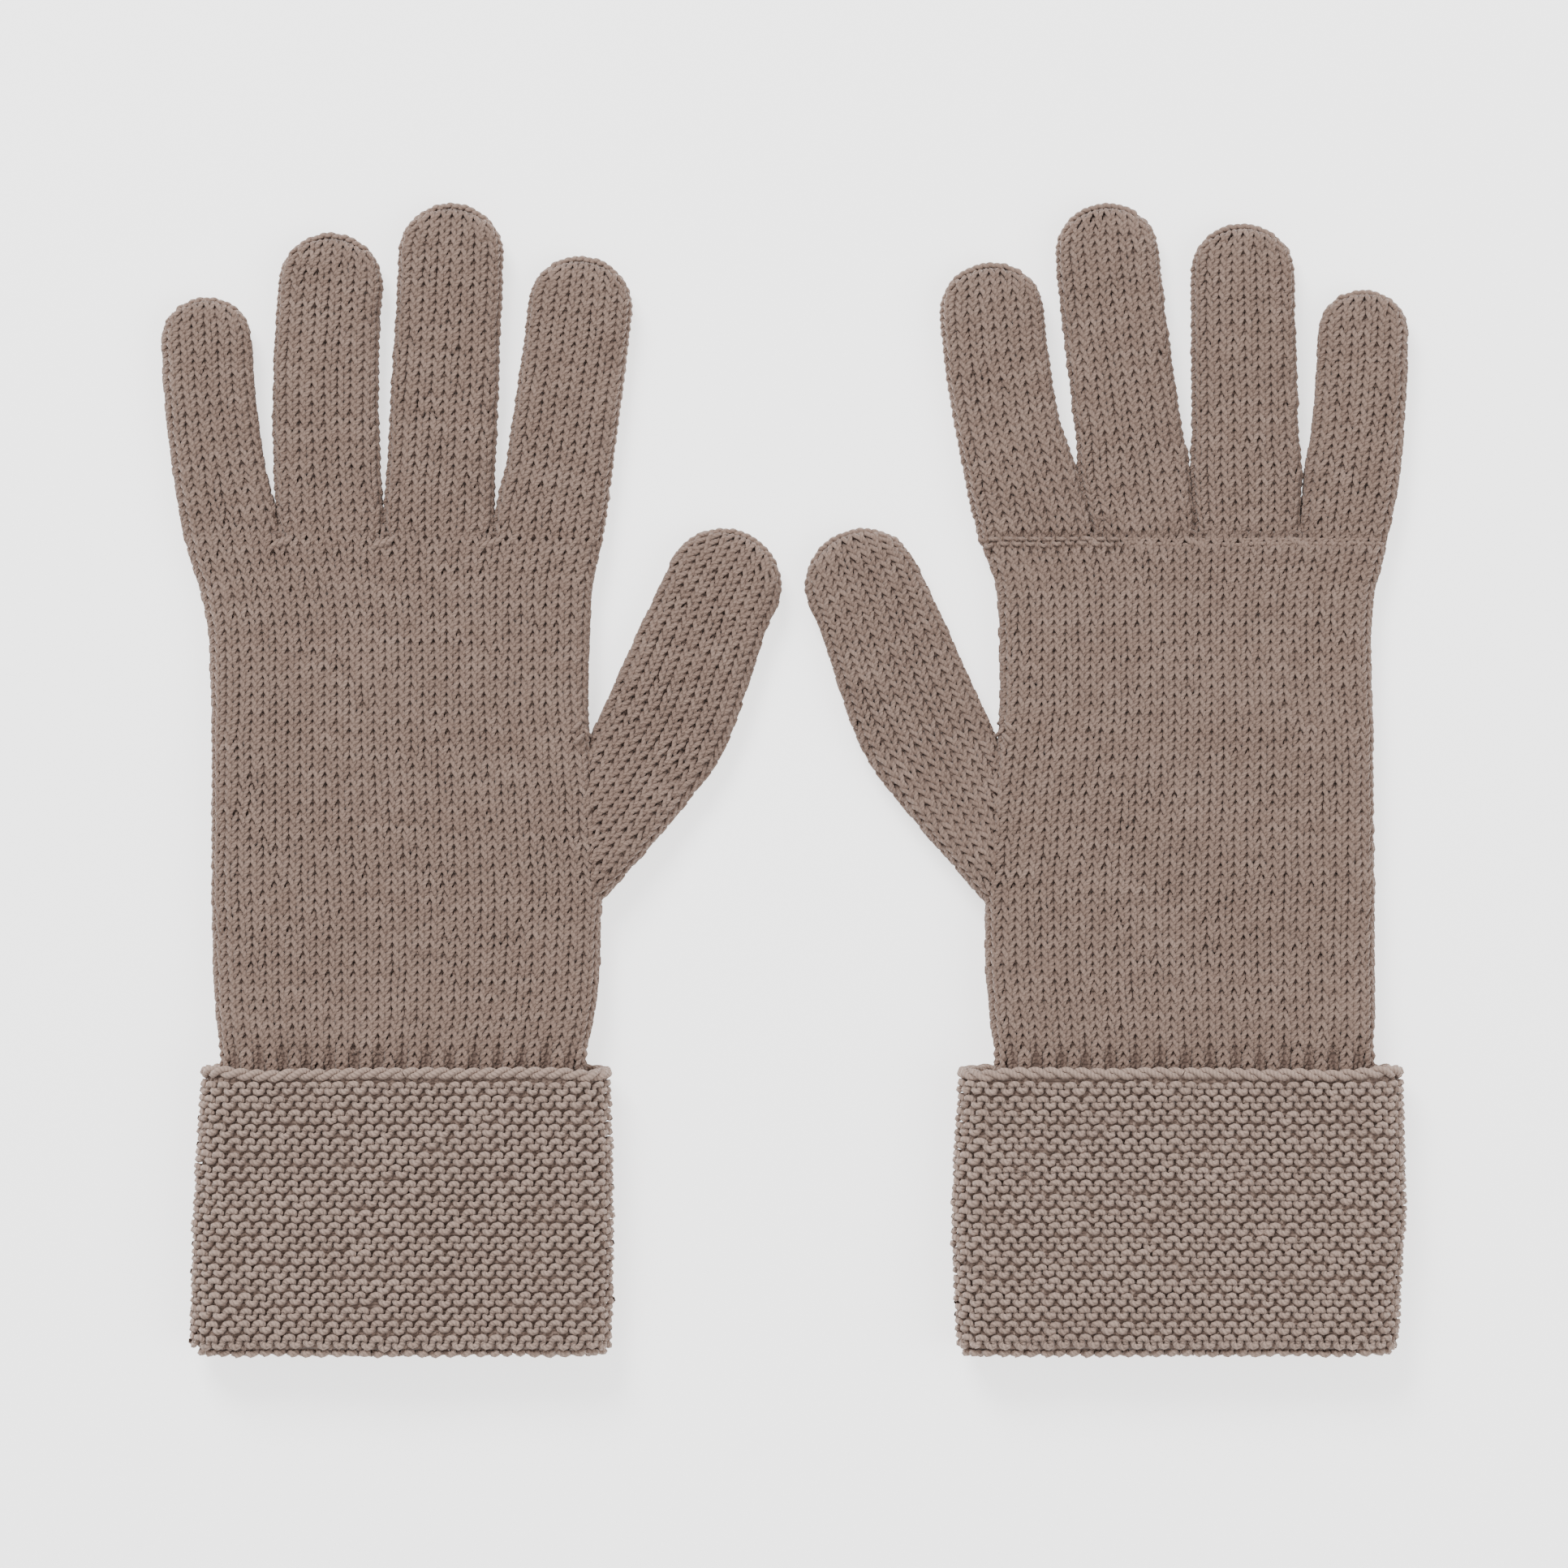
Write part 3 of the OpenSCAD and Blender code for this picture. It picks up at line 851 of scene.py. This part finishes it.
# %% [markdown]
# ## Thumb
# The thumb leans out of the hand's edge. Its stitches run along it right down to the seam, so its
# surface is drawn between two rails: the outer edge, which sweeps in to the bottom of the seam, and
# an inner edge that goes on under the hand. Stitches on the hand's side of the seam are left out.

# %% Thumb surface
THUMB_LEAN = 25
THUMB_ROOT = np.array([61, 149.6])
THUMB_OUTLINE = np.array([[73.9, 141.5], [68.8, 134.9], [62.8, 127.8], [55, 118.8], [48, 111], [41, 104]])
THUMB_BOW = 2.2
INNER_LEANS = (24, 38)
RUN_IN = 42


def turned(points, degrees):
    """Points on the plan turned clockwise."""
    a = math.radians(degrees)
    x, y = points[:, 0], points[:, 1]
    return np.stack([x * math.cos(a) + y * math.sin(a), y * math.cos(a) - x * math.sin(a)], 1)


def thumb_fabric(side):
    points = corners(side, "thumb_middle", "thumb_tip")
    points[:, :2] = turned(points[:, :2] - THUMB_ROOT, -THUMB_LEAN)
    closure = corners(side, "thumb_closure")
    tip = turned(closure[:, :2] - THUMB_ROOT, -THUMB_LEAN)[:, 1].max()
    rows = rings_of(points, 0.5)
    full = (rows[:, 3] < points[:, 2].min() + 0.05) & (rows[:, 4] > points[:, 2].max() - 0.05)
    rows = rows[full]
    radius = (rows[-1, 2] - rows[-1, 1]) / 2
    shoulder = tip - radius
    heights = np.append(np.arange(1, shoulder - TIP_RUN, 1.0), shoulder)
    middle = (follow(rows, 1, heights, 3) + follow(rows, 2, heights, 3)) / 2
    half = (follow(rows, 2, heights, 3) - follow(rows, 1, heights, 3)) / 2 - PLAIN_INSET
    low, high = rows[0, 3], rows[0, 4]
    end = tip_rings(np.array([middle[-1], shoulder]), 0.02, radius, low, high)
    left = np.concatenate([np.stack([middle - half, heights], 1)[:-1], end[0]])
    below = np.clip((shoulder - TIP_RUN - heights) / 34, 0, 1)
    bowed = half + THUMB_BOW * np.sin(below * math.pi / 2)
    right = np.concatenate([np.stack([middle + bowed, heights], 1)[:-1], end[1]])
    left, right = turned(left, THUMB_LEAN) + THUMB_ROOT, turned(right, THUMB_LEAN) + THUMB_ROOT
    bend = np.concatenate([np.zeros(RUN_IN + len(heights) - 1), end[4]])
    down = np.arange(1, RUN_IN + 1, 1.0)
    leans = np.radians(INNER_LEANS[0] + (INNER_LEANS[1] - INNER_LEANS[0]) * down / RUN_IN)
    inner = left[0] - np.cumsum(np.stack([np.sin(leans), np.cos(leans)], 1), 0)
    walked = np.concatenate([[0], np.cumsum(np.hypot(*np.diff(THUMB_OUTLINE, axis=0).T))])
    even_walk = down * walked[-1] / RUN_IN
    outer = np.stack([np.interp(even_walk, walked, THUMB_OUTLINE[:, k]) for k in (0, 1)], 1)
    spans = inner - outer
    outer = outer + spans / np.hypot(spans[:, 0], spans[:, 1])[:, None] * PLAIN_INSET
    left = np.concatenate([inner[::-1], left])
    right = np.concatenate([outer[::-1], right])
    smoothing = np.ones(7) / 7
    for rail in (left, right):
        for k in (0, 1):
            padded = np.pad(rail[:, k], 3, mode="reflect", reflect_type="odd")
            rail[: RUN_IN + 8, k] = np.convolve(padded, smoothing, "valid")[: RUN_IN + 8]
    into = ease(down / 26)[::-1]
    lows = np.concatenate([np.full(RUN_IN, low), np.full(len(heights) - 1, low)]) + PLAIN_INSET
    highs = np.concatenate([high + 2.9 * into, np.full(len(heights) - 1, high)]) - PLAIN_INSET
    lows, highs = np.concatenate([lows, end[2]]), np.concatenate([highs, end[3]])
    swell = soft_swell(77 if side == "left" else 78, 0.35, 26)
    centre = turned(np.array([[middle[-1], shoulder]]), THUMB_LEAN)[0] + THUMB_ROOT
    crown = (centre, math.radians(THUMB_LEAN) + 0.02, radius)
    return Fabric(1 - RUN_IN, left, right, lows, highs, bend=bend, swell=swell), crown, (low + high) / 2


# %% Thumb pieces
def knit_thumb(side):
    dice = np.random.default_rng(61 if side == "left" else 62)
    fabric, crown, level = thumb_fabric(side)
    bottom, top = fabric.start + 1, fabric.start + len(fabric.length) - 1
    stays = lambda points: (points[:, 1] > SEAM_HIGH[1]) | beyond_seam(points, -1.8)
    courses = knit_stall(fabric, bottom, top, dice, keep=stays, widest=20)
    along = np.array([math.sin(math.radians(THUMB_LEAN)), math.cos(math.radians(THUMB_LEAN))])
    glove = f"{side}_glove"
    root, lower, upper = (f"{side}_thumb_{part}" for part in ("root", "lower", "upper"))

    def joint_at(name):
        x, y, _ = joints[f"{side}_{name}"]["pos_m"]
        middle, turn = GLOVES[side]
        return float(np.dot([(x / MM - middle) * turn, y / MM - FOLD_Y] - THUMB_ROOT, along))

    def across(height, reach):
        ends = [THUMB_ROOT + along * (height + step) for step in (-reach, reach)]
        return tuple(place(side, (*end, 5)) for end in ends)

    knuckle, bend = joint_at("thumb_knuckle"), joint_at("thumb_bend")
    out = np.array([SEAM_HIGH[1] - SEAM_LOW[1], SEAM_LOW[0] - SEAM_HIGH[0]])
    out = out / np.hypot(*out)
    middle = (SEAM_LOW + SEAM_HIGH) / 2
    folds = tuple(place(side, (*(middle + out * step), 13)) for step in (-1, 7))
    first, second = knuckle - 8, (knuckle + bend) / 2
    spans = ((bottom, first), (first, second), (second, top))
    # Dark sheets of painted shade behind the thumb's loops.
    inside = [shade_sheet(fabric, low, high, 0, 1, SHADE_SHEET_SUNK, stays) for low, high in spans]
    base = piece(
        f"{side}_thumb_root_knit", side, gather(courses, -100, first) + inside[:1], plain_wool,
        (glove, root, *folds),
    )
    near = piece(
        f"{side}_thumb_middle_knit", side, gather(courses, first, second) + inside[1:2], plain_wool,
        (root, lower, *across(knuckle, 8)),
    )
    far = piece(
        f"{side}_thumb_tip_knit", side, gather(courses, second, 400) + inside[2:], plain_wool,
        (lower, upper, *across(bend, 8)),
    )
    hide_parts(f"{side}_thumb_base")
    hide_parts(f"{side}_thumb_middle")
    end = piece(
        f"{side}_thumb_end", side, tip_edge(crown, level, dice), plain_wool, upper,
    )
    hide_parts(f"{side}_thumb_tip")
    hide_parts(f"{side}_thumb_closure")
    print(side, "thumb joints at", round(knuckle, 1), round(bend, 1))


for side in GLOVES:
    knit_thumb(side)

# %% [markdown]
# ## Cuffs
# The cuff is one long tube folded over itself: an inner layer goes on from the wrist down to the
# fold, and the turned-back layer climbs outside it. Both are garter stitch. The surface of the
# turned-back layer goes round the fold too, as a half circle between the layers.

# %% Cuff surfaces
RIDGE_INSET = 2.0
RIDGE = 1.72
RIDGE_STITCH = 3.6


def cuff_fabric(side):
    points = corners(side, "cuff_outer", "cuff_edge")
    rows = rings_of(points, 0.9)
    full = rows[:, 4] - rows[:, 3] > 0.99 * (rows[:, 4] - rows[:, 3]).max()
    rows = rows[full]
    edge = points[:, 1].max()
    heights = np.arange(4, edge + 1.5, 1.0)
    turn_round = 1.9
    arc = np.arange(-6, 0, 1.0) / 6 * math.pi
    height = np.concatenate([turn_round + 2 + turn_round * np.sin(arc), heights])
    inset = np.concatenate([RIDGE_INSET + turn_round * (1 - np.cos(arc)), np.full(len(heights), RIDGE_INSET)])
    left = np.stack([follow(rows, 1, height), height], 1)
    right = np.stack([follow(rows, 2, height), height], 1)
    left, right = left + inset[:, None] * [1, 0], right - inset[:, None] * [1, 0]
    low, high = rows[0, 3] + inset, rows[0, 4] - inset
    swell = soft_swell(31 if side == "left" else 33, 0.5, 40)
    return Fabric(-2, left, right, low, high, swell=swell), edge


def inner_fabric(side):
    rows = rings_of(corners(side, "cuff_inner"), 0.8)
    heights = np.arange(1, 74, 1.0)
    left = np.stack([follow(rows, 1, heights), heights], 1)
    right = np.stack([follow(rows, 2, heights), heights], 1)
    left, right = pull_in(left, right, RIDGE_INSET)
    low, high = follow(rows, 3, heights) + RIDGE_INSET, follow(rows, 4, heights) - RIDGE_INSET
    return Fabric(1, left, right, low, high)


# %% Cuff pieces
def knit_cuff(side):
    dice = np.random.default_rng(41 if side == "left" else 42)
    glove, turnback = f"{side}_glove", f"{side}_cuff_turnback"
    outer, edge = cuff_fabric(side)
    inner = inner_fabric(side)
    stitches = even(np.median(outer.length) / RIDGE_STITCH, 8)
    levels = np.arange(-1.6 + RIDGE / 2, edge - 3, RIDGE)
    halves = {"front": [], "rear": []}
    for k, level in enumerate(levels):
        face = 1 if k % 2 else -1
        for half, start in (("front", -stitches / 4), ("rear", stitches / 4)):
            last = start + stitches / 2
            halves[half] += course(outer, level, RIDGE, stitches, start, last, GARTER, dice, face)
    # Dark sheets of painted shade behind the turned-back layer's loops.
    halves["front"].append(shade_sheet(outer, -2, edge - 2, -0.25, 0.25, 0))
    halves["rear"].append(shade_sheet(outer, -2, edge - 2, 0.25, 0.75, 0))
    for half, strands in halves.items():
        made = piece(f"{side}_cuff_{half}", side, strands, lit_ridge_wool, turnback)
        if half == "front":
            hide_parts(f"{side}_cuff_outer")
    stitches = even(np.median(inner.length) / RIDGE_STITCH, 8)
    for half, start in (("front", -stitches / 4), ("rear", stitches / 4)):
        first = start / stitches
        # A dark sheet of painted shade behind the inner layer's loops.
        layer = [shade_sheet(inner, 4, 70, first, first + 0.5, 0)]
        for k, level in enumerate(np.arange(4.6, 68, RIDGE)):
            face = 1 if k % 2 else -1
            layer += course(inner, level, RIDGE, stitches, start, start + stitches / 2, GARTER, dice, face)
        made = piece(f"{side}_cuff_inside_{half}", side, layer, lit_ridge_wool, glove)
        if half == "front":
            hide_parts(f"{side}_cuff_inner")
    return outer, edge


cuffs = {side: knit_cuff(side) for side in GLOVES}

# %% [markdown]
# ## Edges and joining rows
# The cuff ends in a chain of cast-on loops, which lies along the free edge like a thick cord.

# %% Chain along the cuff's edge
def rope(fabric, level, pitch, apart, radius, dice, out=0.0, hand=1, first=0.0, last=1.0, wave=None):
    """Two strands wound round each other along a tube, from one share of a turn to another."""
    length = float(fabric.measure(level)) * (last - first)
    links = int(round(length / pitch))
    i = np.linspace(0, links, links * 10 + 1)
    wander = 0 if wave is None else np.interp(i, np.linspace(0, links, len(wave)), wave)
    made = []
    for phase in (0, math.pi):
        t = 2 * math.pi * i * hand + phase
        height = level + apart * np.sin(t) + wander
        on, normal = fabric.at(height, first + i / links * (last - first))
        line = on + (out + apart * 0.9 * np.cos(t))[:, None] * normal
        bright = np.interp(i, np.arange(links + 1), dice.normal(0.62, 0.15, links + 1))
        made.append(strand(line, normal, radius, bright, 0.9))
    return made


for side in GLOVES:
    dice = np.random.default_rng(71)
    outer, edge = cuffs[side]
    wave = dice.normal(0, 0.42, 34)
    wave[-1] = wave[0]
    front = rope(outer, edge - 1.7, 7.6, 0.74, 0.92, dice, 0.6, 1, wave=wave)
    inside = rope(outer, edge - 1.5, 7.6, 0.5, 0.7, dice, -0.6, 1, wave=wave)
    made = piece(
        f"{side}_cuff_chain", side, front + inside, lit_ridge_wool,
        f"{side}_cuff_turnback",
    )
    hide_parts(f"{side}_cuff_edge")

# %% [markdown]
# Where the fingers grow out of the hand, the left glove shows three short slanted stitches that
# close the forks. The right glove was joined from the other face, which left a ridge, highest under
# the index finger.

# %% Rows at the finger roots
def level_at(fabric, x, y):
    """Height of a tube's upper face at a plan point."""
    upper = fabric.points[:, np.r_[0 : RING_POINTS // 4, -RING_POINTS // 4 : 0]].reshape(-1, 3)
    near = np.hypot(upper[:, 0] - x, upper[:, 1] - y).argmin()
    return upper[near, 2]


def short_stitch(start, end, height, radius, tone, level):
    """One slanted stitch that dives into the cloth at both ends."""
    t = np.linspace(0, 1, 13)
    line = np.array(start) + (np.array(end) - np.array(start)) * t[:, None]
    line = np.column_stack([line, height * np.sin(math.pi * t) ** 0.7 - 1.2 * (1 - np.sin(math.pi * t))])
    line[:, 2] += level
    lift = np.tile([0, 0, 1.0], (13, 1))
    return strand(line, lift, radius * (0.75 + 0.25 * np.sin(math.pi * t)), tone, 0.95)


def forks(side):
    """Where neighbouring fingers meet on the plan."""
    edges = [finger_rows(side, finger)[0][0, 1:3] for finger in FINGERS]
    return [(a[1] + b[0]) / 2 for a, b in zip(edges, edges[1:])]


for side in GLOVES:
    dice = np.random.default_rng(81)
    strands = []
    for x in forks(side):
        for step in (-1.7, 0, 1.7):
            start = (x + step - 1.5, FINGER_ROOT - 2.6 + 0.3 * step)
            end = (x + step + 1.7, FINGER_ROOT + 0.6 + 0.3 * step)
            level = level_at(hands[side], x, FINGER_ROOT)
            strands.append(short_stitch(start, end, 1.5, 0.62, dice.normal(0.6, 0.1), level))
        # Painted shade: the two strands that sink deepest into each fork get a dark tone.
        for step in (-0.6, 0.6):
            start, end = (x + step, FINGER_ROOT - 1), (x - 0.5 * step, FINGER_ROOT + 3.6)
            strands.append(short_stitch(start, end, 0.6, 0.55, dice.normal(0.1, 0.1), level - 1.3))
    if side == "right":
        low_bumps = {**GARTER, "climb": 0.45, "depth": 0.45, "lift": 0.3, "radius": 0.5}
        high_bumps = {**GARTER, "climb": 0.8, "depth": 0.6, "lift": 1.3, "radius": 0.52}
        rows = ((FINGER_ROOT - 0.6, -15.5, 5, low_bumps), (FINGER_ROOT - 0.8, 5, 15.5, high_bumps))
        for height, first, last, bumps in rows:
            strands += course(hands[side], height, 1.6, HAND_STITCHES, first, last, bumps, dice)
    for k, (x, y) in enumerate(((43.6, 157), (42.0, 154.6), (44.4, 153.8), (42.6, 151.6))):
        slant = 1.5 if k % 2 else -1.3
        level = level_at(hands[side], x, y)
        strands.append(short_stitch((x - 1.4, y - slant), (x + 1.3, y + slant), 1.6, 0.6, 0.6, level))
    made = piece(f"{side}_finger_row", side, strands, plain_wool, f"{side}_glove")
    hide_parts(f"{side}_finger_join")

# %% [markdown]
# ## Table and light
# A pale, matt table and broad, soft lamps leave hardly any shadow, as in a catalogue picture.

# %% Table
table_mesh = bpy.data.meshes.new("table")
reach = 6.0
table_corners = [(-reach, -reach, 0), (reach, -reach, 0), (reach, reach, 0), (-reach, reach, 0)]
table_mesh.from_pydata(table_corners, [], [(0, 1, 2, 3)])
table_top = Finish("table_top")
table_top.give(Base_Color=(0.93, 0.93, 0.93, 1), Roughness=0.9)
table_top.give(Emission_Color=(1, 1, 1, 1), Emission_Strength=1.5)
table_mesh.materials.append(table_top.material)
table = bpy.data.objects.new("table", table_mesh)
bpy.context.scene.collection.objects.link(table)
table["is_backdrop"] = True


# %% Lamps
def lamp(name, spot, power, size):
    light = bpy.data.lights.new(name, "AREA")
    light.energy = power
    light.size = size
    holder = bpy.data.objects.new(name, light)
    holder.location = spot
    holder.rotation_euler = (-Vector(spot)).to_track_quat("-Z", "Y").to_euler()
    bpy.context.scene.collection.objects.link(holder)


lamp("window", (-0.7, 1.5, 1.6), 66, 0.9)
lamp("fill", (1.3, -0.4, 1.6), 22, 1.4)
world = bpy.data.worlds.new("studio")
world.use_nodes = True
world.node_tree.nodes["Background"].inputs[0].default_value = (1, 1, 1, 1)
world.node_tree.nodes["Background"].inputs[1].default_value = 0.9
bpy.context.scene.world = world

# %% Sizes and finish
made_low, made_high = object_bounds()
ends = (zip(cad_low, made_low), zip(cad_high, made_high))
grown = [[round((b - a) / MM, 1) for a, b in pair] for pair in ends]
print("grown by mm:", grown)
